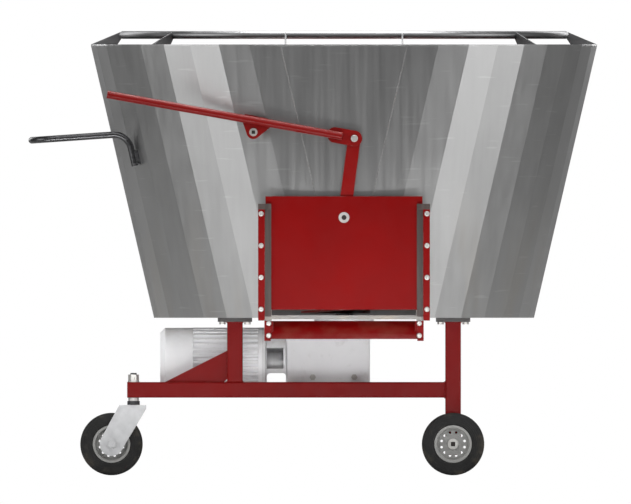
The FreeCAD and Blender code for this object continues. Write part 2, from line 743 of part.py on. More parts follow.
def wheel_axles():
    """Stub axles with squared ends, and a spacer collar against each wheel's hub."""
    solids = []
    hub_end = FIXED_WHEEL_Y + HUB_LENGTH / 2
    for side in both_sides():
        place = (POST_X, AXLE_Z)
        shoulder = side * (hub_end + 11.0)
        axle = rod("y", place, (side * (FRAME_INNER - 4), shoulder), AXLE_RADIUS)
        end = box((POST_X - 7, POST_X + 7), (shoulder, side * (hub_end + 14)), (AXLE_Z - 7, AXLE_Z + 7))
        collar = pipe("y", place, (side * FRAME_OUTER, side * (FRAME_OUTER + 11.7)), 16.0, AXLE_RADIUS)
        solids += [axle.fuse(end), collar]
    return solids


def axle_nuts():
    """Nuts of the stub axles and of the caster kingpins, each with its washer."""
    solids = []
    hub_end = FIXED_WHEEL_Y + HUB_LENGTH / 2 + 0.3
    for side in both_sides():
        place = (POST_X, AXLE_Z)
        washer = pipe("y", place, (side * hub_end, side * (hub_end + 2.7)), 17.0, AXLE_RADIUS)
        nut = hexagon("y", place, (side * (hub_end + 2.7), side * (hub_end + 10.7)), 26.0)
        nut = nut.cut(rod("y", place, (side * hub_end, side * (hub_end + 20)), AXLE_RADIUS))
        king = (KING_X, side * FRAME_Y)
        top_washer = pipe("z", king, (BEAM_TOP, BEAM_TOP + 3.5), 18.5, AXLE_RADIUS)
        top_nut = hexagon("z", king, (BEAM_TOP + 3.5, BEAM_TOP + 24), 30.0)
        top_nut = top_nut.cut(rod("z", king, (BEAM_TOP, BEAM_TOP + 30), AXLE_RADIUS))
        solids += [washer, nut, top_washer, top_nut]
    return solids


# ---------------------------------------------------------------- casters
FORK_TOP = 225.0
FORK_PLATE = 6.0
FORK_INNER = 29.0


def kingpins():
    """The bolts that the caster forks turn on."""
    solids = []
    for side in both_sides():
        place = (KING_X, side * FRAME_Y)
        head = rod("z", place, (FORK_TOP - FORK_PLATE - 13, FORK_TOP - FORK_PLATE - 0.3), 15.0)
        solids.append(head.fuse(rod("z", place, (FORK_TOP - FORK_PLATE - 1, BEAM_TOP + 29.2), AXLE_RADIUS)))
    return solids


def swivel_bearings():
    """A thrust ring on each fork, and the washer between it and the beam."""
    solids = []
    for side in both_sides():
        place = (KING_X, side * FRAME_Y)
        solids.append(pipe("z", place, (FORK_TOP + 0.3, FORK_TOP + 13), 20.0, AXLE_RADIUS))
        solids.append(pipe("z", place, (FORK_TOP + 13, BEAM_Z), 17.0, AXLE_RADIUS))
    return solids


def caster_fork(side):
    """A swivel fork: a top plate and two legs that slant back to the axle, with the axle bolt."""
    y = side * FRAME_Y
    outer = FORK_INNER + FORK_PLATE
    left, right = KING_X - 45.5, KING_X + 40.5
    axle = (CASTER_X, AXLE_Z)
    end = 38.0
    plate = box((left, right), (y - outer, y + outer), (FORK_TOP - FORK_PLATE, FORK_TOP))
    outline = [
        (left, FORK_TOP),
        (right, FORK_TOP),
        (right, FORK_TOP - 12),
        tangent_point((right, FORK_TOP - 12), axle, end, -1),
        tangent_point((left, FORK_TOP), axle, end, 1),
    ]
    pieces = []
    for leg in both_sides():
        depth = (y + leg * FORK_INNER, y + leg * outer)
        pieces.append(plate_xz(outline, depth))
        pieces.append(rod("y", axle, depth, end))
    fork = plate.fuse(pieces)
    fork = fork.cut([
        rod("z", (KING_X, y), (FORK_TOP - 20, FORK_TOP + 1), AXLE_RADIUS + RUNNING_FIT),
        rod("y", axle, (y - 60, y + 60), AXLE_RADIUS),
    ]).removeSplitter()
    bolt = rod("y", axle, (y - outer - 12, y + outer + 12), AXLE_RADIUS)
    nuts = []
    for leg in both_sides():
        nut = hexagon("y", axle, (y + leg * outer, y + leg * (outer + 9)), 26.0)
        nuts.append(nut.cut(rod("y", axle, (y - 60, y + 60), AXLE_RADIUS)))
    return [fork, bolt] + nuts


# ---------------------------------------------------------------- motor
MOTOR_AXIS = (WORM_Y, MOTOR_Z)
COWL_X = (-588.0, -483.0)
FRAME_X = (-483.0, -275.0)
FLANGE_X = (-275.0, -262.0)
BELL_X = (-262.0, GEARBOX_X[0])
TERMINAL_Y = (WORM_Y + MOTOR_RADIUS + 2, WORM_Y + MOTOR_RADIUS + 62)


def motor_housing():
    """The ribbed motor frame, with a flat pad for the terminal box."""
    body, fins, bore = 98.0, 34, 92.0
    step = 2 * math.pi / fins
    points = []
    for i in range(fins):
        middle = i * step
        from_pad = abs((middle + math.pi) % (2 * math.pi) - math.pi)
        tip = body + 0.5 if from_pad < math.radians(34) else MOTOR_RADIUS
        for angle, radius in ((-0.32, body), (-0.16, tip), (0.16, tip), (0.32, body)):
            a = middle + angle * step
            points.append(Vec(FRAME_X[0], WORM_Y + radius * math.cos(a), MOTOR_Z + radius * math.sin(a)))
    housing = prism(points, Vec(FRAME_X[1] - FRAME_X[0], 0, 0))
    pad = box((-425, -325), (WORM_Y + 60, TERMINAL_Y[0]), (MOTOR_Z - 48, MOTOR_Z + 48))
    housing = housing.fuse(pad)
    return housing.cut(rod("x", MOTOR_AXIS, (FRAME_X[0] - 1, FRAME_X[1] + 1), bore))


def motor_stator():
    """The stator's core and its two rings of end windings."""
    core = pipe("x", MOTOR_AXIS, (-452, -306), 92.0, 60.0)
    windings = [pipe("x", MOTOR_AXIS, span, 86.0, 64.0) for span in ((-468, -452), (-306, -296))]
    return [core] + windings


def end_shields():
    """The rear bearing shield and the front mounting flange of the motor."""
    rear = revolve_x([(-491, 31), (-491, 104), (-483, 104), (-483, 45), (-472, 45), (-472, 31)], MOTOR_AXIS)
    front = revolve_x([(-293, 31), (-293, 45), (-275, 45), (-275, MOTOR_RADIUS), (-262, MOTOR_RADIUS),
                       (-262, 31)], MOTOR_AXIS)
    return [rear, front]


def fan_cowl():
    """The pressed cover over the fan, with a chamfered edge and rings of air holes."""
    left, right = COWL_X
    outer, sheet, chamfer = MOTOR_RADIUS - 1, 2.0, 16.0
    cowl = revolve_x([
        (left, 0), (left, outer - chamfer), (left + chamfer, outer), (right, outer),
        (right, outer - sheet), (left + chamfer + 1, outer - sheet),
        (left + sheet, outer - chamfer - 1), (left + sheet, 0),
    ], MOTOR_AXIS)
    holes = []
    for ring, count in ((24, 8), (40, 14), (56, 20), (72, 26)):
        for i in range(count):
            a = 2 * math.pi * i / count
            place = (WORM_Y + ring * math.cos(a), MOTOR_Z + ring * math.sin(a))
            holes.append(rod("x", place, (left - 1, left + sheet + 1), 5.0))
    return cowl.cut(holes)


def terminal_box():
    """The motor's connection box with its screwed lid."""
    x, z, wall = (-425, -325), (MOTOR_Z - 48, MOTOR_Z + 48), 4.0
    lid_y = TERMINAL_Y[1] - 8
    case = box(x, (TERMINAL_Y[0], lid_y), z)
    inside = box((x[0] + wall, x[1] - wall), (TERMINAL_Y[0] + wall, lid_y), (z[0] + wall, z[1] - wall))
    case = case.cut([inside, rod("z", gland_place(), (z[0] - 1, z[0] + wall + 1), 8.0)])
    lid = box(x, (lid_y, TERMINAL_Y[1]), z)
    edges = [e for e in lid.Edges if e.BoundBox.YMin > TERMINAL_Y[1] - 0.01]
    return [case, lid.makeFillet(3.0, edges)]


def gland_place():
    return -375.0, TERMINAL_Y[0] + 27


def cable_gland():
    """The gland under the connection box, open for a supply cable."""
    bottom = MOTOR_Z - 48
    place = gland_place()
    nut = hexagon("z", place, (bottom - 10, bottom), 27.0)
    dome = rod("z", place, (bottom - 28, bottom - 10), 11.5)
    edges = [e for e in dome.Edges if e.BoundBox.ZMax < bottom - 27.9]
    neck = rod("z", place, (bottom, bottom + 4), 8.0)
    bore = rod("z", place, (bottom - 30, bottom + 6), 6.5)
    return nut.fuse([dome.makeFillet(3.0, edges), neck]).cut(bore).removeSplitter()


def shaft_bearings():
    """Ball bearing rings of the motor, the worm and the output shaft, and the output seal."""
    motor_bore = SHAFT_RADIUS + RUNNING_FIT
    output_bore = OUTPUT_RADIUS + RUNNING_FIT
    return [
        pipe("x", MOTOR_AXIS, (-488, -472), 31.0, motor_bore),
        pipe("x", MOTOR_AXIS, (-291, -275), 31.0, motor_bore),
        pipe("x", MOTOR_AXIS, (GEARBOX_X[0], GEARBOX_X[0] + 12), 26.0, motor_bore),
        pipe("x", MOTOR_AXIS, (GEARBOX_X[1] - 16, GEARBOX_X[1] - 4), 26.0, motor_bore),
        pipe("z", (0, 0), (302.5, 318.5), 45.0, output_bore),
        pipe("z", (0, 0), (GEARBOX_TOP + 8, GEARBOX_TOP + 28), 50.0, output_bore),
        pipe("z", (0, 0), (GEARBOX_TOP + 40, GEARBOX_TOP + 50), 44.0, output_bore),
    ]


def motor_rotor():
    """The rotor core on its shaft, from the fan to the coupling."""
    core = pipe("x", MOTOR_AXIS, (-452, -306), 59.5, SHAFT_RADIUS)
    return [core, rod("x", MOTOR_AXIS, (-560, -226), SHAFT_RADIUS)]


def motor_fan():
    """The cooling fan: a hub, a back disc and eight blades."""
    hub = rod("x", MOTOR_AXIS, (-558, -512), 26.0)
    disc = rod("x", MOTOR_AXIS, (-516, -512), 92.0)
    blades = []
    for i in range(8):
        blade = box((-556, -514), (WORM_Y - 2, WORM_Y + 2), (MOTOR_Z + 20, MOTOR_Z + 92))
        blade.rotate(Vec(0, *MOTOR_AXIS), Vec(1, 0, 0), 45 * i)
        blades.append(blade)
    fan = hub.fuse([disc] + blades).cut(rod("x", MOTOR_AXIS, (-570, -500), SHAFT_RADIUS))
    return fan.removeSplitter()


def shaft_coupling():
    """Two jaw hubs with an elastic ring between them."""
    motor_hub = pipe("x", MOTOR_AXIS, (-252, -230), 32.0, SHAFT_RADIUS)
    worm_hub = pipe("x", MOTOR_AXIS, (-220, -198), 32.0, SHAFT_RADIUS)
    elastic = pipe("x", MOTOR_AXIS, (-230, -220), 31.0, SHAFT_RADIUS)
    return [motor_hub, elastic, worm_hub]


# ---------------------------------------------------------------- gearbox
def gearbox_y():
    return WORM_Y - 80, 95.0


def bell_housing():
    """The casting between motor and gearbox: a slot on top, a window in front, an arch below."""
    left, right = BELL_X
    open_left = left + 15
    shell = revolve_x([
        (left, 60), (left, MOTOR_RADIUS), (left + 10, MOTOR_RADIUS), (left + 14, 96), (right - 10, 96),
        (right - 10, 96), (right, 96), (right, 60), (right - 8, 60), (right - 12, 84), (left + 12, 84),
        (left + 8, 60),
    ], MOTOR_AXIS)
    slot = box((left + 20, right - 16), (WORM_Y - 30, WORM_Y + 30), (MOTOR_Z + 62, MOTOR_Z + 120))
    arch = box((open_left, right + 1), (WORM_Y - 120, WORM_Y + 120), (MOTOR_Z - 120, MOTOR_Z - 36))
    crown = [e for e in arch.Edges if e.BoundBox.ZMin > MOTOR_Z - 37 and e.BoundBox.YLength > 200]
    arch = arch.makeFillet(12.0, crown)
    window = box((open_left, right - 8), (WORM_Y - 120, WORM_Y - 40), (MOTOR_Z - 22, MOTOR_Z + 44))
    return shell.cut([slot, arch, window])


def cover_bolt_places():
    front, rear = gearbox_y()
    for x in (GEARBOX_X[0] + 8, GEARBOX_X[1] - 8):
        for y in (front + 8, (front + rear) / 2, rear - 8):
            yield x, y


def gearbox_housing():
    """The gear case, open on top, with seats for the worm's and the output shaft's bearings."""
    front, rear = gearbox_y()
    wall = GEARBOX_WALL
    case = box(GEARBOX_X, (front, rear), (BEAM_TOP, GEARBOX_TOP))
    vertical = [e for e in case.Edges if e.BoundBox.ZLength > 100]
    case = case.makeFillet(8.0, vertical)
    inside = box((GEARBOX_X[0] + wall, GEARBOX_X[1] - 16), (front + wall, rear - wall),
                 (BEAM_TOP + wall, GEARBOX_TOP + 1))
    cuts = [
        inside,
        rod("x", MOTOR_AXIS, (GEARBOX_X[0] - 1, GEARBOX_X[0] + wall + 1), 26.0),
        rod("x", MOTOR_AXIS, (GEARBOX_X[1] - 17, GEARBOX_X[1] - 4), 26.0),
        rod("z", (0, 0), (302.5, 330), 45.0),
    ]
    for place in cover_bolt_places():
        cuts.append(rod("z", place, (GEARBOX_TOP - 20, GEARBOX_TOP + 1), 4.0))
    for x in (-100.0, 33.0):
        cuts.append(rod("y", (x, 314.0), (front - 1, front + 9), 6.0))
    return case.cut(cuts)


def gearbox_cover():
    """The cover plate with the bearing neck that reaches up to the tub's floor."""
    top = GEARBOX_TOP
    plate = box(GEARBOX_X, gearbox_y(), (top, top + 12))
    neck = rod("z", (0, 0), (top + 12, FLOOR_Z), 72.0)
    flange = rod("z", (0, 0), (FLOOR_Z - 12, FLOOR_Z), 95.0)
    cuts = [
        rod("z", (0, 0), (top - 1, top + 28), 50.0),
        rod("z", (0, 0), (top + 28, top + 40), 38.0),
        rod("z", (0, 0), (top + 40, FLOOR_Z + 1), 44.0),
    ]
    for place in cover_bolt_places():
        cuts.append(rod("z", place, (top - 1, top + 13), 4.0))
    return plate.fuse([neck, flange]).cut(cuts).removeSplitter()


def worm_shaft():
    """The single-start worm on its shaft."""
    lead = math.pi * WORM_MODULE
    root = WORM_PITCH_RADIUS - 1.25 * WORM_MODULE
    tip = WORM_PITCH_RADIUS + WORM_MODULE
    length = 7 * lead
    helix = Part.makeHelix(lead, length, root)
    foot, crest, sink = 2.9, 0.9, 0.6
    profile = Part.makePolygon([
        Vec(root - sink, 0, -foot), Vec(tip, 0, -crest), Vec(tip, 0, crest), Vec(root - sink, 0, foot),
        Vec(root - sink, 0, -foot),
    ])
    thread = Part.Wire(helix.Edges).makePipeShell([profile], True, True)
    thread.translate(Vec(0, 0, -length / 2))
    core = Part.makeCylinder(root, length + 20, Vec(0, 0, -length / 2 - 10))
    shaft = Part.makeCylinder(SHAFT_RADIUS, 303, Vec(0, 0, -224))
    worm = core.fuse([thread, shaft])
    worm.rotate(Vec(0, 0, 0), Vec(0, 0, 1), 90)
    worm.rotate(Vec(0, 0, 0), Vec(0, 1, 0), 90)
    worm.translate(Vec(0, *MOTOR_AXIS))
    return worm


def worm_wheel():
    """The bronze wheel that the worm drives, with straight teeth set at the worm's lead angle."""
    face = 13.0
    root = WHEEL_PITCH_RADIUS - 1.25 * WORM_MODULE
    tip = WHEEL_PITCH_RADIUS + WORM_MODULE
    lead_angle = math.degrees(math.atan(WORM_MODULE / (2 * WORM_PITCH_RADIUS)))
    blank = rod("z", (0, 0), (MOTOR_Z - face, MOTOR_Z + face), root)
    teeth = []
    foot, crest = 2.9, 1.0
    for i in range(WHEEL_TEETH):
        tooth = prism([
            Vec(root - 2, -foot, 0), Vec(tip, -crest, 0), Vec(tip, crest, 0), Vec(root - 2, foot, 0),
        ], Vec(0, 0, 2 * face))
        tooth.translate(Vec(0, 0, -face))
        tooth.rotate(Vec(0, 0, 0), Vec(1, 0, 0), -lead_angle)
        tooth.rotate(Vec(0, 0, 0), Vec(0, 0, 1), 360 * i / WHEEL_TEETH)
        tooth.translate(Vec(0, 0, MOTOR_Z))
        teeth.append(tooth)
    hub = rod("z", (0, 0), (MOTOR_Z - 22, MOTOR_Z + 22), 42.0)
    wheel = blank.fuse(teeth + [hub])
    return wheel.cut(rod("z", (0, 0), (MOTOR_Z - 30, MOTOR_Z + 30), OUTPUT_RADIUS))


# ---------------------------------------------------------------- auger
def output_shaft():
    """The gearbox's output shaft with the hub that carries the auger."""
    shaft = rod("z", (0, 0), (303.5, AUGER_BOTTOM), OUTPUT_RADIUS)
    hub = rod("z", (0, 0), (AUGER_BOTTOM, AUGER_BOTTOM + 70), CORE_RADIUS - CORE_WALL)
    return shaft.fuse(hub).removeSplitter()


def auger_core():
    tube = pipe("z", (0, 0), (AUGER_BOTTOM, AUGER_TOP), CORE_RADIUS, CORE_RADIUS - CORE_WALL)
    cap = rod("z", (0, 0), (AUGER_TOP, AUGER_TOP + 8), CORE_RADIUS)
    edges = [e for e in cap.Edges if e.BoundBox.ZMin > AUGER_TOP + 7.9]
    return tube.fuse(cap.makeFillet(4.0, edges)).removeSplitter()


def flight_place(share):
    """Bearing, outer radius and height of the flight, at a share of its whole turn."""
    bearing = FLIGHT_START + share * FLIGHT_TURNS * 2 * math.pi
    radius = FLIGHT_BOTTOM_RADIUS + share * (FLIGHT_TOP_RADIUS - FLIGHT_BOTTOM_RADIUS)
    height = AUGER_BOTTOM + share * (AUGER_TOP - 40 - AUGER_BOTTOM)
    return bearing, radius, height


def helix_edge(core):
    """The inner or the outer edge of the flight, as a smooth curve."""
    steps = 54
    points = []
    for i in range(steps + 1):
        bearing, radius, height = flight_place(i / steps)
        if core:
            radius = CORE_RADIUS
        points.append(Vec(radius * math.cos(bearing), radius * math.sin(bearing), height))
    curve = Part.BSplineCurve()
    curve.interpolate(Points=points, Parameters=[i / steps for i in range(steps + 1)])
    return curve.toShape()


def auger_flight():
    """The tapering screw flight around the core."""
    face = Part.makeRuledSurface(helix_edge(True), helix_edge(False))
    flight = face.extrude(Vec(0, 0, FLIGHT_THICKNESS))
    return flight.cut(knife_bolt_shanks())


KNIFE_SHARES = (0.15, 0.32, 0.50, 0.68)
KNIFE_THICKNESS = 6.0
KNIFE_GAP = 2.0


def set_on_flight(shape, share):
    """Moves a shape built at the origin onto the flight's top surface at its outer edge."""
    bearing, radius, height = flight_place(share)
    rise = (AUGER_TOP - 40 - AUGER_BOTTOM) / (FLIGHT_TURNS * 2 * math.pi)
    moved = shape.copy()
    moved.rotate(Vec(0, 0, 0), Vec(1, 0, 0), math.degrees(math.atan(rise / radius)))
    moved.translate(Vec(radius, 0, height + FLIGHT_THICKNESS))
    moved.rotate(Vec(0, 0, 0), Vec(0, 0, 1), math.degrees(bearing))
    return moved


def knife_bolt_places():
    return (-42.0, -20.0), (-42.0, 20.0)


def knife_bolt_shanks():
    shanks = []
    for share in KNIFE_SHARES:
        for place in knife_bolt_places():
            shanks.append(set_on_flight(rod("z", place, (-24, 16), 5.0), share))
    return shanks


def auger_knives():
    """Four pointed knives bolted on the edge of the flight."""
    outline = [(-62, -42), (8, -52), (44, -66), (30, -10), (14, 42), (-62, 42)]
    solids = []
    for share in KNIFE_SHARES:
        points = [Vec(x, y, KNIFE_GAP) for x, y in outline]
        knife = prism(points, Vec(0, 0, KNIFE_THICKNESS))
        knife = knife.cut([rod("z", place, (-1, 20), 5.0) for place in knife_bolt_places()])
        solids.append(set_on_flight(knife, share))
    return solids


def knife_bolts():
    solids = []
    under_head = KNIFE_GAP + KNIFE_THICKNESS
    for share in KNIFE_SHARES:
        for place in knife_bolt_places():
            shank = rod("z", place, (-20, under_head), 5.0)
            head = hexagon("z", place, (under_head, under_head + 6), 16.0)
            nut = hexagon("z", place, (-19, -FLIGHT_THICKNESS - 2), 16.0)
            solids.append(set_on_flight(shank.fuse([head, nut]), share))
    return solids


# ---------------------------------------------------------------- the nodes
def build():
    envelope = tub_envelope()
    ring, stays = spill_ring_parts()

    add("tub_floor", tub_floor())
    add("tub_shell_left", tub_shell(-1))
    add("tub_shell_right", tub_shell(1))
    add("tub_front_panel", tub_panel(-1))
    add("tub_rear_panel", tub_panel(1))
    add("rim_flange", rim_flange())
    add("spill_ring", ring)
    add("ring_stays", *stays)

    add("door_frame", door_frame(envelope))
    add("guide_strips", guide_strip(-1), guide_strip(1))
    add("clamp_strips", clamp_strip(-1), clamp_strip(1))
    add("chute_plate", chute_plate())
    add("chute_brackets", chute_bracket(-1), chute_bracket(1))
    add("button_bolts", *button_bolts())
    add("lever_boss", *lever_boss(envelope))
    add("push_handle", *push_handle(envelope))

    add("side_beams", side_beam(-1), side_beam(1))
    add("cross_beams", *cross_beams())
    add("posts", *posts(), *gussets())
    add("post_plates", *post_plates())
    add("hex_bolts", *hex_bolts())
    add("wheel_axles", *wheel_axles())
    add("axle_nuts", *axle_nuts())
    add("caster_kingpins", *kingpins())
    add("swivel_bearings", *swivel_bearings())

    add("motor_housing", motor_housing())
    add("motor_stator", *motor_stator())
    add("motor_end_shields", *end_shields())
    add("fan_cowl", fan_cowl())
    add("terminal_box", *terminal_box())
    add("cable_gland", cable_gland())
    add("shaft_bearings", *shaft_bearings())
    add("bell_housing", bell_housing())
    add("gearbox_housing", gearbox_housing())
    add("gearbox_cover", gearbox_cover())

    add("motor_rotor", *motor_rotor())
    add("motor_fan", motor_fan())
    add("shaft_coupling", *shaft_coupling())
    add("worm_shaft", worm_shaft())

    add("worm_wheel", worm_wheel())
    add("output_shaft", output_shaft())
    add("auger_core", auger_core())
    add("auger_flight", auger_flight())
    add("auger_knives", *auger_knives())
    add("knife_bolts", *knife_bolts())

    add("lever_bar", *lever_parts())
    add("lever_bolt", *lever_bolt())
    add("link_bar", link_bar())
    add("door_plate", door_plate())
    add("door_pin", *door_pin())

    for side, name in ((-1, "front"), (1, "rear")):
        add("caster_fork_" + name, *caster_fork(side))
        add("caster_tyre_" + name, tyre(CASTER_X, side * FRAME_Y))
        add("caster_rim_" + name, wheel_rim(CASTER_X, side * FRAME_Y))
        add("fixed_tyre_" + name, tyre(POST_X, side * FIXED_WHEEL_Y))
        add("fixed_rim_" + name, wheel_rim(POST_X, side * FIXED_WHEEL_Y))


def export():
    for name, shapes in nodes.items():
        solids = [solid for shape in shapes for solid in shape.Solids]
        whole = Part.makeCompound(solids) if len(solids) > 1 else solids[0]
        whole.translate(ORIGIN * -1)
        valid = all(solid.isValid() for solid in solids)
        whole.exportStep("parts/" + name + ".step")
        print(name, "solids", len(solids), "volume", round(whole.Volume), "valid", valid)


os.makedirs("parts", exist_ok=True)
build()
export()
print("nodes", len(nodes), "origin", round(ORIGIN.x, 3), round(ORIGIN.y, 3))
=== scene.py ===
import json
import math
import random

import bmesh
import bpy
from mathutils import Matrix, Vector


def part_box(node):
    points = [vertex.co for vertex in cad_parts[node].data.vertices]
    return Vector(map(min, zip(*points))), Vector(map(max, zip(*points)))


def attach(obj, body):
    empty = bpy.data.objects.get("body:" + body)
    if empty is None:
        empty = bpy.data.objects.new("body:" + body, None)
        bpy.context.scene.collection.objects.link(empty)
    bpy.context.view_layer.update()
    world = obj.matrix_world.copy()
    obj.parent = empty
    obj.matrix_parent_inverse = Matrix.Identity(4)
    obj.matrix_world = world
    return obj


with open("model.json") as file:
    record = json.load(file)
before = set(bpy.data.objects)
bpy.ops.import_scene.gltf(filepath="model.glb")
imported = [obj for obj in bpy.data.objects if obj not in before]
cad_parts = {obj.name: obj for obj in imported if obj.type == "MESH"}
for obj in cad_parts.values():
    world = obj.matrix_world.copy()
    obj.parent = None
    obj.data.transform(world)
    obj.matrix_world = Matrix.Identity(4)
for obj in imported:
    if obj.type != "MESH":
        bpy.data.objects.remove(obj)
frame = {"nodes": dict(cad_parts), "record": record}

# The looks of a small vertical-auger feed mixer. Metres, +Z up, the discharge door faces -Y.
# Every CAD piece keeps its shape and gets a procedural material by its material slot. Weld
# beads are built here, around the places that the frame gives.

random.seed(7)
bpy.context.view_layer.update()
nodes = frame["nodes"]
SLOT_OF = {part["node"]: part["material_slot"] for part in frame["record"]["subparts"]}

# ---------------------------------------------------------------- view and light
# The camera looks along +Y without perspective. Bearings count from the front towards +X.
VIEW_WIDTH = 2.0192
VIEW_CENTRE = Vector((0.0086, 0.0, 0.7146))
VIEW_DISTANCE = 6.0
BACKDROP = (1.0, 1.0, 1.0, 1.0)
SURROUND = (0.22, 0.22, 0.222, 1.0)
KEY_BEARING = math.radians(56)
KEY_DISTANCE = 7.0
KEY_SIZE = (4.5, 6.3)
KEY_POWER = 76.0
KEY_SPREAD = math.radians(100)
FRONT_POWER = 42.0
LOW_POWER = 6.2
MOUTH_POWER = 15.0
TOP_POWER = 34.0
BACK_SIZE = (2.6, 5.0)
BACK_POWER = 42.0
BACK_HEIGHT = 3.4
BACK_BEARINGS = {"back_left": math.radians(-140), "back_right": math.radians(150)}
AIM_HEIGHT = 0.7
FLOOR_REACH = 9.0
# The corners of a square in turn.
SQUARE = ((-1, -1), (1, -1), (1, 1), (-1, 1))


def make_camera():
    data = bpy.data.cameras.new("camera")
    data.type = "ORTHO"
    data.ortho_scale = VIEW_WIDTH
    data.clip_end = 60.0
    camera = bpy.data.objects.new("camera", data)
    camera.location = VIEW_CENTRE + Vector((0, -VIEW_DISTANCE, 0))
    camera.rotation_euler = (math.pi / 2, 0, 0)
    bpy.context.scene.collection.objects.link(camera)
    bpy.context.scene.camera = camera


def make_world():
    """A white backdrop that lights the object as a mid-grey studio."""
    world = bpy.data.worlds.new("studio")
    bpy.context.scene.world = world
    world.use_nodes = True
    tree = world.node_tree
    tree.nodes.clear()
    output = tree.nodes.new("ShaderNodeOutputWorld")
    seen = tree.nodes.new("ShaderNodeBackground")
    seen.inputs["Color"].default_value = BACKDROP
    lit = tree.nodes.new("ShaderNodeBackground")
    lit.inputs["Color"].default_value = SURROUND
    path = tree.nodes.new("ShaderNodeLightPath")
    mix = tree.nodes.new("ShaderNodeMixShader")
    tree.links.new(path.outputs["Is Camera Ray"], mix.inputs[0])
    tree.links.new(lit.outputs[0], mix.inputs[1])
    tree.links.new(seen.outputs[0], mix.inputs[2])
    tree.links.new(mix.outputs[0], output.inputs["Surface"])


def soft_light(name, bearing, distance, height, size, power, spread=math.pi, aim_height=AIM_HEIGHT):
    """A soft box that faces the machine from a bearing, counted from the front towards +X."""
    data = bpy.data.lights.new(name, "AREA")
    data.shape = "RECTANGLE"
    data.size, data.size_y = size
    data.energy = power
    data.spread = spread
    light = bpy.data.objects.new(name, data)
    light.location = (distance * math.sin(bearing), -distance * math.cos(bearing), height)
    aim = Vector((0, 0, aim_height)) - light.location
    light.rotation_euler = aim.to_track_quat("-Z", "Y").to_euler()
    light.visible_camera = False
    bpy.context.scene.collection.objects.link(light)


def make_lights():
    """Two tall key strips, a wide one above the front and a low one for the sill, one into the
    tub's mouth, one on top and two behind."""
    for name, side in (("key_left", -1), ("key_right", 1)):
        soft_light(name, side * KEY_BEARING, KEY_DISTANCE, 1.0, KEY_SIZE, KEY_POWER, KEY_SPREAD)
    soft_light("front_high", 0.0, 3.2, 3.8, (4.0, 1.6), FRONT_POWER)
    soft_light("front_low", 0.0, 1.8, 0.12, (3.2, 0.22), LOW_POWER, math.radians(58), 0.92)
    soft_light("mouth", 0.0, 0.05, 3.0, (1.2, 1.2), MOUTH_POWER, math.radians(70))
    soft_light("top", math.radians(20), 1.2, 4.2, (3.0, 3.0), TOP_POWER)
    for name, bearing in BACK_BEARINGS.items():
        soft_light(name, bearing, KEY_DISTANCE, BACK_HEIGHT, BACK_SIZE, BACK_POWER, KEY_SPREAD)


def make_floor():
    mesh = bpy.data.meshes.new("floor")
    corners = [(FLOOR_REACH * a, FLOOR_REACH * b, 0) for a, b in SQUARE]
    mesh.from_pydata(corners, [], [(0, 1, 2, 3)])
    floor = bpy.data.objects.new("floor", mesh)
    bpy.context.scene.collection.objects.link(floor)
    mesh.materials.append(floor_material())


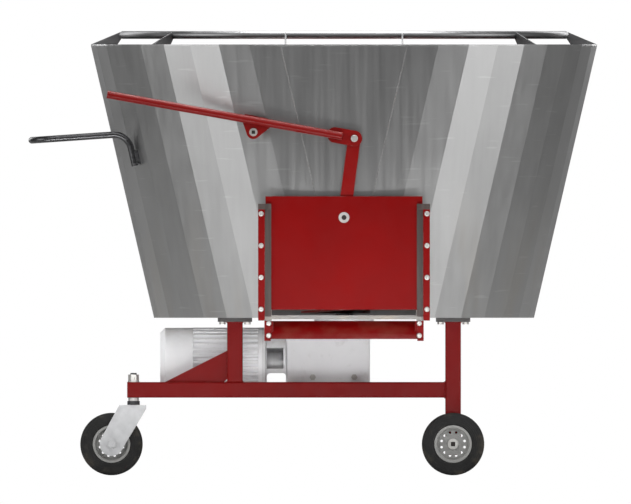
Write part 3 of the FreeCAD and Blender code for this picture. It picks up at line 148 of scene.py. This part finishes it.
# ---------------------------------------------------------------- shader helpers
class Shader:
    """A material whose nodes are added one call at a time."""

    def __init__(self, name, metallic=0.0, coat=0.0, specular=0.5):
        self.material = bpy.data.materials.new(name)
        self.material.use_nodes = True
        self.tree = self.material.node_tree
        self.surface = self.tree.nodes["Principled BSDF"]
        self.surface.inputs["Metallic"].default_value = metallic
        self.surface.inputs["Coat Weight"].default_value = coat
        self.surface.inputs["Coat Roughness"].default_value = 0.18
        self.surface.inputs["Specular IOR Level"].default_value = specular
        self.place = self.tree.nodes.new("ShaderNodeTexCoord").outputs["Object"]

    def link(self, source, target):
        self.tree.links.new(source, target)

    def set_input(self, name, source):
        self.link(source, self.surface.inputs[name])

    def stretched(self, scale):
        """The object's own coordinates, scaled differently along each axis."""
        mapping = self.tree.nodes.new("ShaderNodeMapping")
        mapping.inputs["Scale"].default_value = scale
        self.link(self.place, mapping.inputs["Vector"])
        return mapping.outputs["Vector"]

    def noise(self, scale, detail=3.0, stretch=None, roughness=0.55):
        node = self.tree.nodes.new("ShaderNodeTexNoise")
        node.inputs["Scale"].default_value = scale
        node.inputs["Detail"].default_value = detail
        node.inputs["Roughness"].default_value = roughness
        self.link(self.stretched(stretch) if stretch else self.place, node.inputs["Vector"])
        return node.outputs["Fac"]

    def cells(self, scale, stretch=None):
        node = self.tree.nodes.new("ShaderNodeTexVoronoi")
        node.inputs["Scale"].default_value = scale
        self.link(self.stretched(stretch) if stretch else self.place, node.inputs["Vector"])
        return node.outputs["Color"]

    def spread(self, source, low, high, to_low=0.0, to_high=1.0):
        """Maps low..high of a source to another range, and clamps it."""
        node = self.tree.nodes.new("ShaderNodeMapRange")
        node.inputs["From Min"].default_value = low
        node.inputs["From Max"].default_value = high
        node.inputs["To Min"].default_value = to_low
        node.inputs["To Max"].default_value = to_high
        self.link(source, node.inputs["Value"])
        return node.outputs["Result"]

    def math(self, operation, a, b=0.5):
        node = self.tree.nodes.new("ShaderNodeMath")
        node.operation = operation
        node.use_clamp = True
        for value, socket in ((a, node.inputs[0]), (b, node.inputs[1])):
            if isinstance(value, (int, float)):
                socket.default_value = value
            else:
                self.link(value, socket)
        return node.outputs[0]

    def colour(self, share, first, second):
        """A colour between two, by a share. Each colour is three numbers or a socket."""
        node = self.tree.nodes.new("ShaderNodeMix")
        node.data_type = "RGBA"
        self.link(share, node.inputs["Factor"])
        for value, socket in ((first, node.inputs[6]), (second, node.inputs[7])):
            if isinstance(value, tuple):
                socket.default_value = (*value, 1.0)
            else:
                self.link(value, socket)
        return node.outputs[2]

    def soft_edges(self, radius):
        """The surface's normal as if its edges were rounded."""
        node = self.tree.nodes.new("ShaderNodeBevel")
        node.samples = 4
        node.inputs["Radius"].default_value = radius
        return node.outputs["Normal"]

    def edges(self, radius):
        """1 on sharp edges and 0 on flat stretches."""
        geometry = self.tree.nodes.new("ShaderNodeNewGeometry")
        dot = self.tree.nodes.new("ShaderNodeVectorMath")
        dot.operation = "DOT_PRODUCT"
        self.link(self.soft_edges(radius), dot.inputs[0])
        self.link(geometry.outputs["Normal"], dot.inputs[1])
        return self.spread(dot.outputs["Value"], 0.995, 0.80)

    def facing_up(self):
        """1 on surfaces that look up, where dust settles."""
        geometry = self.tree.nodes.new("ShaderNodeNewGeometry")
        parts = self.tree.nodes.new("ShaderNodeSeparateXYZ")
        self.link(geometry.outputs["Normal"], parts.inputs[0])
        return self.spread(parts.outputs["Z"], 0.35, 0.95)

    def along(self, axis):
        """The object's own X, Y or Z."""
        parts = self.tree.nodes.new("ShaderNodeSeparateXYZ")
        self.link(self.place, parts.inputs[0])
        return parts.outputs[axis]

    def outer_end(self, node, depth, side):
        """1 on the last stretch of a node towards -Y (side -1) or +Y (side 1)."""
        low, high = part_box(node)
        limit = low.y + depth if side < 0 else high.y - depth
        return self.spread(self.along("Y"), limit - side * 0.0001, limit + side * 0.0001)

    def from_axle(self, node):
        """The distance from the middle line of a wheel part, in metres."""
        low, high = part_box(node)
        flat = self.tree.nodes.new("ShaderNodeCombineXYZ")
        self.link(self.along("X"), flat.inputs["X"])
        self.link(self.along("Z"), flat.inputs["Z"])
        gap = self.tree.nodes.new("ShaderNodeVectorMath")
        gap.operation = "DISTANCE"
        gap.inputs[1].default_value = ((low.x + high.x) / 2, 0.0, (low.z + high.z) / 2)
        self.link(flat.outputs[0], gap.inputs[0])
        return gap.outputs["Value"]

    def waves(self, source, period):
        """A sine of a length, with a period in metres."""
        turned_on = self.tree.nodes.new("ShaderNodeMath")
        turned_on.operation = "MULTIPLY"
        turned_on.inputs[1].default_value = 2 * math.pi / period
        self.link(source, turned_on.inputs[0])
        sine = self.tree.nodes.new("ShaderNodeMath")
        sine.operation = "SINE"
        self.link(turned_on.outputs[0], sine.inputs[0])
        return sine.outputs[0]

    def bump(self, source, strength, distance, under=None):
        node = self.tree.nodes.new("ShaderNodeBump")
        node.inputs["Strength"].default_value = strength
        node.inputs["Distance"].default_value = distance
        self.link(source, node.inputs["Height"])
        if under is not None:
            self.link(under, node.inputs["Normal"])
        return node.outputs["Normal"]


# ---------------------------------------------------------------- materials
DUST = (0.36, 0.29, 0.19)


def toned(base, share):
    """A colour made darker or lighter."""
    return tuple(share * c for c in base)


def floor_material():
    s = Shader("studio_floor")
    s.set_input("Base Color", s.colour(s.noise(1.5), (0.80, 0.80, 0.79), (0.84, 0.84, 0.83)))
    s.set_input("Roughness", s.spread(s.noise(6.0), 0.3, 0.7, 0.62, 0.72))
    return s.material


def sheet_steel(name, base, low=0.27, high=0.37, dusty=0.25, metallic=1.0):
    """Rolled sheet: upright grain, faint blotches, scratches, dusty streaks low down."""
    s = Shader(name, metallic=metallic)
    grain = s.noise(55.0, 4.0, (1.0, 1.0, 0.035))
    blotch = s.noise(2.6, 3.0)
    scratch = s.spread(s.noise(24.0, 2.0, (0.25, 0.25, 3.2)), 0.66, 0.72)
    tone = s.colour(s.spread(blotch, 0.3, 0.7), toned(base, 0.93), toned(base, 1.07))
    tone = s.colour(s.math("MULTIPLY", s.spread(grain, 0.35, 0.7), 0.22), tone, toned(base, 1.25))
    tone = s.colour(s.math("MULTIPLY", scratch, 0.22), tone, toned(base, 1.7))
    streak = s.math("MULTIPLY", s.spread(s.noise(9.0, 3.0, (1.0, 1.0, 0.12)), 0.52, 0.75), dusty)
    low_down = s.spread(s.along("Z"), 0.95, 0.50)
    tone = s.colour(s.math("MULTIPLY", streak, low_down), tone, DUST)
    # Painted highlight: sharp edges are lightened towards a light grey.
    tone = s.colour(s.math("MULTIPLY", s.edges(0.003), 0.18), tone, (0.62, 0.62, 0.62))
    s.set_input("Base Color", tone)
    rough = s.math("ADD", s.spread(grain, 0.25, 0.75, low, high), s.math("MULTIPLY", blotch, 0.06))
    s.set_input("Roughness", rough)
    fine = s.bump(grain, 0.10, 0.0004, s.soft_edges(0.0015))
    s.set_input("Normal", s.bump(s.noise(4.0, 1.0), 0.10, 0.004, fine))
    return s.material


def enamel(name, base, rough=0.34, worn=0.45, dust=0.10, gloss=0.10, under=(0.24, 0.23, 0.22)):
    """Brushed enamel: orange peel, faded patches, chips along the edges, dust on ledges."""
    s = Shader(name, coat=0.02, specular=gloss)
    fade = s.noise(5.0, 4.0)
    tone = s.colour(s.spread(fade, 0.3, 0.7), toned(base, 0.93), toned(base, 1.08))
    speck = s.spread(s.noise(160.0, 2.0), 0.70, 0.76)
    tone = s.colour(s.math("MULTIPLY", speck, 0.35), tone, toned(base, 0.45))
    chips = s.spread(s.noise(70.0, 4.0), 0.50, 0.60)
    edge = s.math("MULTIPLY", s.math("MULTIPLY", s.edges(0.0028), chips), worn)
    tone = s.colour(edge, tone, under)
    settled = s.math("MULTIPLY", s.facing_up(), s.spread(s.noise(18.0, 5.0), 0.42, 0.70, 0.0, dust))
    tone = s.colour(settled, tone, DUST)
    s.set_input("Base Color", tone)
    rough_low = s.spread(s.noise(30.0), 0.3, 0.7, rough, rough + 0.14)
    s.set_input("Roughness", s.math("ADD", rough_low, s.math("MULTIPLY", settled, 0.6)))
    peel = s.bump(s.noise(260.0, 1.0), 0.12, 0.0004, s.soft_edges(0.0013))
    s.set_input("Normal", s.bump(edge, -0.25, 0.0004, peel))
    return s.material


def plated(name, base, rough=0.36, scale=300.0, metallic=0.75, node=None, depth=0.0, sides=(-1,)):
    """Zinc plate or clean machined metal: tiny spangles, finger marks, bright edges painted as
    highlights. The last stretch of a given node is painted near-black as shade."""
    s = Shader(name, metallic=metallic)
    spangle = s.cells(scale)
    tone = s.colour(s.spread(s.noise(40.0), 0.3, 0.7), toned(base, 0.86), base)
    # Painted highlight: sharp edges are lightened towards a near-white grey.
    tone = s.colour(s.math("MULTIPLY", s.edges(0.0015), 0.4), tone, (0.80, 0.80, 0.79))
    for side in sides if node else ():
        # Painted shade: the node's outer end is made near-black.
        tone = s.colour(s.outer_end(node, depth, side), tone, (0.035, 0.030, 0.028))
    s.set_input("Base Color", tone)
    s.set_input("Roughness", s.spread(spangle, 0.0, 1.0, rough, rough + 0.16))
    s.set_input("Normal", s.bump(spangle, 0.05, 0.0002, s.soft_edges(0.0008)))
    return s.material


def swivel_steel(name):
    """A black thrust ring below and a light washer above it."""
    s = Shader(name, metallic=0.7)
    low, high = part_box("swivel_bearings")
    washer = s.spread(s.along("Z"), high.z - 0.0106, high.z - 0.0104)
    ring = s.colour(s.noise(80.0), (0.035, 0.035, 0.036), (0.060, 0.060, 0.062))
    s.set_input("Base Color", s.colour(washer, ring, (0.50, 0.48, 0.47)))
    s.set_input("Roughness", s.spread(s.noise(60.0), 0.3, 0.7, 0.32, 0.46))
    s.set_input("Normal", s.soft_edges(0.0012))
    return s.material


def turned(name, base, stretch, rough=0.26):
    """Turned or drawn metal with fine lines across one axis."""
    s = Shader(name, metallic=1.0)
    lines = s.noise(90.0, 3.0, stretch)
    tone = s.colour(s.spread(lines, 0.3, 0.7), toned(base, 0.82), base)
    tone = s.colour(s.math("MULTIPLY", s.spread(s.noise(12.0), 0.55, 0.75), 0.3), tone,
                    toned(base, 0.55))
    s.set_input("Base Color", tone)
    s.set_input("Roughness", s.spread(lines, 0.2, 0.8, rough, rough + 0.18))
    s.set_input("Normal", s.bump(lines, 0.12, 0.0003, s.soft_edges(0.001)))
    return s.material


def painted_casting(name, base, rough=0.42):
    """Painted iron: the sand's grain shows through the paint, with patches of dirt."""
    s = Shader(name, coat=0.15, specular=0.4)
    sand = s.noise(190.0, 4.0)
    tone = s.colour(s.spread(s.noise(7.0), 0.3, 0.7), toned(base, 0.92), base)
    grime = s.math("MULTIPLY", s.spread(s.noise(22.0, 5.0), 0.58, 0.78), 0.30)
    tone = s.colour(grime, tone, (0.22, 0.20, 0.17))
    settled = s.math("MULTIPLY", s.facing_up(), s.spread(s.noise(16.0, 4.0), 0.4, 0.7, 0.0, 0.40))
    tone = s.colour(settled, tone, DUST)
    tone = s.colour(s.math("MULTIPLY", s.edges(0.003), 0.25), tone, (0.40, 0.40, 0.41))
    s.set_input("Base Color", tone)
    s.set_input("Roughness", s.spread(sand, 0.3, 0.7, rough, rough + 0.16))
    s.set_input("Normal", s.bump(sand, 0.28, 0.0007, s.soft_edges(0.002)))
    return s.material


def worn_auger(name, base):
    """Red enamel that the feed has polished away in patches down to bright steel."""
    s = Shader(name, specular=0.5)
    patches = s.noise(5.5, 6.0, (1.0, 1.0, 2.0))
    rubbed = s.spread(patches, 0.56, 0.66)
    bare = s.math("MAXIMUM", rubbed, s.math("MULTIPLY", s.edges(0.005), 0.7))
    steel = s.colour(s.noise(120.0, 3.0, (1.0, 1.0, 0.1)), (0.34, 0.33, 0.32), (0.52, 0.51, 0.50))
    paint = s.colour(s.noise(30.0), toned(base, 0.8), base)
    s.set_input("Base Color", s.colour(bare, paint, steel))
    s.set_input("Metallic", s.math("MULTIPLY", bare, 0.95))
    s.set_input("Roughness", s.spread(bare, 0.0, 1.0, 0.46, 0.30))
    s.set_input("Normal", s.bump(bare, -0.3, 0.0006, s.soft_edges(0.002)))
    return s.material


def tyre_rubber(name, base, node):
    """Solid rubber: moulded rings on the walls, fine grain, scuffed shoulders, a little dust."""
    s = Shader(name, specular=0.30)
    grain = s.noise(420.0, 3.0)
    tone = s.colour(s.spread(s.noise(14.0, 4.0), 0.35, 0.7), base, toned(base, 1.9))
    scuff = s.math("MULTIPLY", s.edges(0.006), s.spread(s.noise(60.0, 3.0), 0.45, 0.65))
    tone = s.colour(s.math("MULTIPLY", scuff, 0.4), tone, (0.16, 0.155, 0.15))
    dirt = s.spread(s.noise(26.0, 5.0), 0.50, 0.75, 0.0, 0.16)
    tone = s.colour(s.math("MULTIPLY", dirt, s.spread(s.from_axle(node), 0.07, 0.10)), tone, DUST)
    s.set_input("Base Color", tone)
    s.set_input("Roughness", s.spread(grain, 0.3, 0.7, 0.62, 0.80))
    rings = s.bump(s.waves(s.from_axle(node), 0.0062), 0.30, 0.0005, s.soft_edges(0.0015))
    s.set_input("Normal", s.bump(grain, 0.35, 0.0005, rings))
    return s.material


def dark_plastic(name, base, rough=0.48):
    """Moulded plastic with fine grain and sliding marks along its height."""
    s = Shader(name, specular=0.4)
    slide = s.noise(70.0, 3.0, (1.0, 1.0, 0.05))
    tone = s.colour(s.spread(slide, 0.45, 0.75), base, toned(base, 1.7))
    # Painted highlight: sharp edges are made lighter.
    tone = s.colour(s.math("MULTIPLY", s.edges(0.002), 0.35), tone, toned(base, 2.2))
    s.set_input("Base Color", tone)
    s.set_input("Roughness", s.spread(slide, 0.3, 0.7, rough - 0.08, rough + 0.10))
    s.set_input("Normal", s.bump(s.noise(500.0, 2.0), 0.2, 0.0003, s.soft_edges(0.001)))
    return s.material


def wound_copper(name):
    """Varnished wire in packed turns."""
    s = Shader(name, metallic=1.0, coat=0.6)
    turns = s.noise(160.0, 2.0, (0.08, 1.0, 1.0))
    s.set_input("Base Color", s.colour(turns, (0.45, 0.17, 0.06), (0.85, 0.42, 0.20)))
    s.set_input("Roughness", s.spread(turns, 0.3, 0.7, 0.25, 0.45))
    s.set_input("Normal", s.bump(turns, 0.6, 0.001))
    return s.material


def weld_material():
    """A steel bead with rippled heat tints."""
    s = Shader("weld_bead", metallic=1.0)
    ripple = s.noise(240.0, 2.0)
    tone = s.colour(ripple, (0.20, 0.195, 0.19), (0.34, 0.335, 0.33))
    s.set_input("Base Color", s.colour(s.spread(s.noise(35.0), 0.55, 0.75), tone, (0.17, 0.13, 0.10)))
    s.set_input("Roughness", s.spread(ripple, 0.3, 0.7, 0.42, 0.60))
    s.set_input("Normal", s.bump(ripple, 0.5, 0.0006))
    return s.material


RED = (0.160, 0.0008, 0.0008)
MATERIALS = {
    "tub_sheet": lambda n: sheet_steel(n, (0.36, 0.36, 0.36)),
    # Painted light: the inside sheet has a lighter base than the outside sheet, to brighten the tub's
    # dark inside.
    "tub_inside_sheet": lambda n: sheet_steel(n, (0.50, 0.50, 0.50), 0.30, 0.42, 0.35, 0.8),
    "ring_steel": lambda n: turned(n, (0.25, 0.25, 0.254), (0.1, 0.1, 1.0), 0.30),
    "red_paint": lambda n: enamel(n, RED),
    "red_lever": lambda n: enamel(n, (0.185, 0.0020, 0.0016), rough=0.30, gloss=0.20),
    "guide_plastic": lambda n: dark_plastic(n, (0.040, 0.028, 0.025)),
    "zinc": lambda n: plated(n, (0.52, 0.51, 0.49)),
    "handle_steel": lambda n: turned(n, (0.085, 0.085, 0.088), (0.06, 1.0, 1.0), 0.22),
    "motor_grey": lambda n: enamel(n, (0.88, 0.885, 0.90), rough=0.38, worn=0.35, dust=0.22, gloss=0.4),
    "gearbox_grey": lambda n: painted_casting(n, (0.80, 0.805, 0.82)),
    # Painted light: the auger's red is lighter than the frame's red, to brighten it inside the dark
    # tub.
    "auger_red": lambda n: worn_auger(n, (0.30, 0.008, 0.006)),
    "knife_steel": lambda n: turned(n, (0.60, 0.60, 0.61), (1.0, 0.08, 1.0), 0.24),
    "copper_winding": wound_copper,
    "core_steel": lambda n: turned(n, (0.40, 0.40, 0.42), (1.0, 0.05, 0.05), 0.35),
    "gear_bronze": lambda n: turned(n, (0.66, 0.44, 0.19), (1.0, 1.0, 0.1), 0.28),
    "bearing_steel": lambda n: plated(n, (0.72, 0.72, 0.74), rough=0.12, metallic=1.0),
    "black_steel": lambda n: enamel(n, (0.040, 0.037, 0.036), rough=0.40, gloss=0.35),
    "shaft_steel": lambda n: turned(n, (0.56, 0.56, 0.58), (1.0, 0.1, 0.1), 0.22),
    "coupling_mix": lambda n: plated(n, (0.66, 0.66, 0.67), rough=0.45, metallic=0.15),
    "fork_zinc": lambda n: plated(n, (0.56, 0.565, 0.575), rough=0.42, scale=90.0, metallic=0.25),
    "rim_grey": lambda n: enamel(n, (0.30, 0.30, 0.29), rough=0.36, worn=0.45, gloss=0.4),
    "fan_plastic": lambda n: dark_plastic(n, (0.018, 0.018, 0.020)),
    "gland_plastic": lambda n: dark_plastic(n, (0.022, 0.022, 0.023)),
}


PIN_ZINC = (0.56, 0.55, 0.53)
OWN_FINISH = {
    "door_frame": lambda n: sheet_steel(n, (0.20, 0.195, 0.19), 0.40, 0.52),
    # The door pin, lever boss and wheel axles get their outer ends painted near-black as shade.
    "door_pin": lambda n: plated(n, PIN_ZINC, node="door_pin", depth=0.0008),
    "lever_boss": lambda n: plated(n, PIN_ZINC, node="lever_boss", depth=0.0068),
    "wheel_axles": lambda n: plated(n, PIN_ZINC, node="wheel_axles", depth=0.0028, sides=(-1, 1)),
    "swivel_bearings": swivel_steel,
}


def dress_nodes():
    """Gives every CAD node the material of its slot, or one of its own."""
    made = {}
    for name, piece in nodes.items():
        slot_name = SLOT_OF[name]
        if name in OWN_FINISH:
            finish = OWN_FINISH[name](name)
        elif slot_name == "tyre_rubber":
            finish = tyre_rubber(name, (0.010, 0.010, 0.010), name)
        else:
            if slot_name not in made:
                made[slot_name] = MATERIALS[slot_name](slot_name)
            finish = made[slot_name]
        piece.data.materials.clear()
        piece.data.materials.append(finish)
    return made


# ---------------------------------------------------------------- weld beads
# Beads on the frame's tubes stand proud. The tub's seams are ground nearly flush.
BEAD_SIDES = 8
FRAME_BEAD = 0.0028
FRAME_STEP = 0.0045
BEAD_INSET = 0.004
SEAM_BEAD = 0.0016
SEAM_STEP = 0.006
SEAM_SUNK = 0.0013


def bead_mesh(name, path, radius):
    """A rippled round bead along a path of points, thin at both ends."""
    mesh = bpy.data.meshes.new(name)
    shape = bmesh.new()
    rings = []
    last = len(path) - 1
    for i, point in enumerate(path):
        along = (path[min(i + 1, last)] - path[max(i - 1, 0)]).normalized()
        across = along.orthogonal().normalized()
        other = along.cross(across)
        swell = radius * (0.86 + 0.22 * (i % 2) + random.uniform(-0.07, 0.07))
        if i in (0, last):
            swell *= 0.35
        ring = []
        for k in range(BEAD_SIDES):
            a = 2 * math.pi * k / BEAD_SIDES
            ring.append(shape.verts.new(point + swell * (math.cos(a) * across + math.sin(a) * other)))
        rings.append(ring)
    for first, second in zip(rings, rings[1:]):
        for k in range(BEAD_SIDES):
            after = (k + 1) % BEAD_SIDES
            shape.faces.new((first[k], first[after], second[after], second[k]))
    shape.faces.new(rings[0][::-1])
    shape.faces.new(rings[-1])
    bmesh.ops.recalc_face_normals(shape, faces=shape.faces)
    shape.to_mesh(mesh)
    shape.free()
    for face in mesh.polygons:
        face.use_smooth = True
    return mesh


def straight(start, end, step):
    """Points from start to end, about a step apart."""
    start, end = Vector(start), Vector(end)
    count = max(3, int((end - start).length / step))
    return [start.lerp(end, i / count) for i in range(count + 1)]


def weld(name, body, start, end, material, radius, step):
    """A straight weld bead between two points, on a body."""
    mesh = bead_mesh(name, straight(start, end, step), radius)
    mesh.materials.append(material)
    piece = bpy.data.objects.new(name, mesh)
    bpy.context.scene.collection.objects.link(piece)
    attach(piece, body)


def square_weld(name, centre, half, axis, material):
    """Four beads round the end of a square tube that runs along X or Z."""
    corners = []
    for a, b in SQUARE:
        offset = (0, a * half, b * half) if axis == "x" else (a * half, b * half, 0)
        corners.append(Vector(centre) + Vector(offset))
    for i in range(4):
        first, second = corners[i], corners[(i + 1) % 4]
        inset = (second - first).normalized() * BEAD_INSET
        weld(f"{name}_{i + 1}", "machine", first + inset, second - inset, material,
             FRAME_BEAD, FRAME_STEP)


def frame_welds(material):
    """Beads where the posts stand on the beams and carry their plates."""
    posts_low, posts_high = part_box("posts")
    plates_low, plates_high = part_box("post_plates")
    beams_low, beams_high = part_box("side_beams")
    half = (beams_high.z - beams_low.z) / 2
    right_x = posts_high.x - half
    left_x = plates_low.x + plates_high.x - right_x
    for side, y in (("front", posts_low.y + half), ("rear", posts_high.y - half)):
        square_weld("left_post_foot_" + side, (left_x, y, beams_high.z + 0.0005), half, "z", material)
        square_weld("left_post_head_" + side, (left_x, y, posts_high.z - 0.0005), half, "z", material)
        square_weld("right_post_head_" + side, (right_x, y, posts_high.z - 0.0005), half, "z", material)
        beam_end = (beams_high.x - 0.0005, y, (beams_low.z + beams_high.z) / 2)
        square_weld("beam_end_" + side, beam_end, half, "x", material)


def seam_welds(material):
    """Ground-down beads along both edges of the triangular tub panels."""
    foot_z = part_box("tub_floor")[0].z
    for name in ("tub_front_panel", "tub_rear_panel"):
        low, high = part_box(name)
        front = name == "tub_front_panel"
        wall_y = low.y + SEAM_SUNK if front else high.y - SEAM_SUNK
        start_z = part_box("door_frame")[1].z + 0.006 if front else foot_z + 0.02
        middle, half = (low.x + high.x) / 2, (high.x - low.x) / 2
        share = (start_z - foot_z) / (high.z - foot_z)
        for side in (-1, 1):
            start = (middle + side * half * share, wall_y, start_z)
            end = (middle + side * half, wall_y, high.z - 0.004)
            hand = "left" if side < 0 else "right"
            weld(f"{name}_seam_{hand}", "machine", start, end, material, SEAM_BEAD, SEAM_STEP)


# ---------------------------------------------------------------- the scene
make_camera()
make_world()
make_lights()
make_floor()
bpy.context.scene.view_settings.view_transform = "Standard"
finishes = dress_nodes()
frame_welds(finishes["red_paint"])
seam_welds(weld_material())
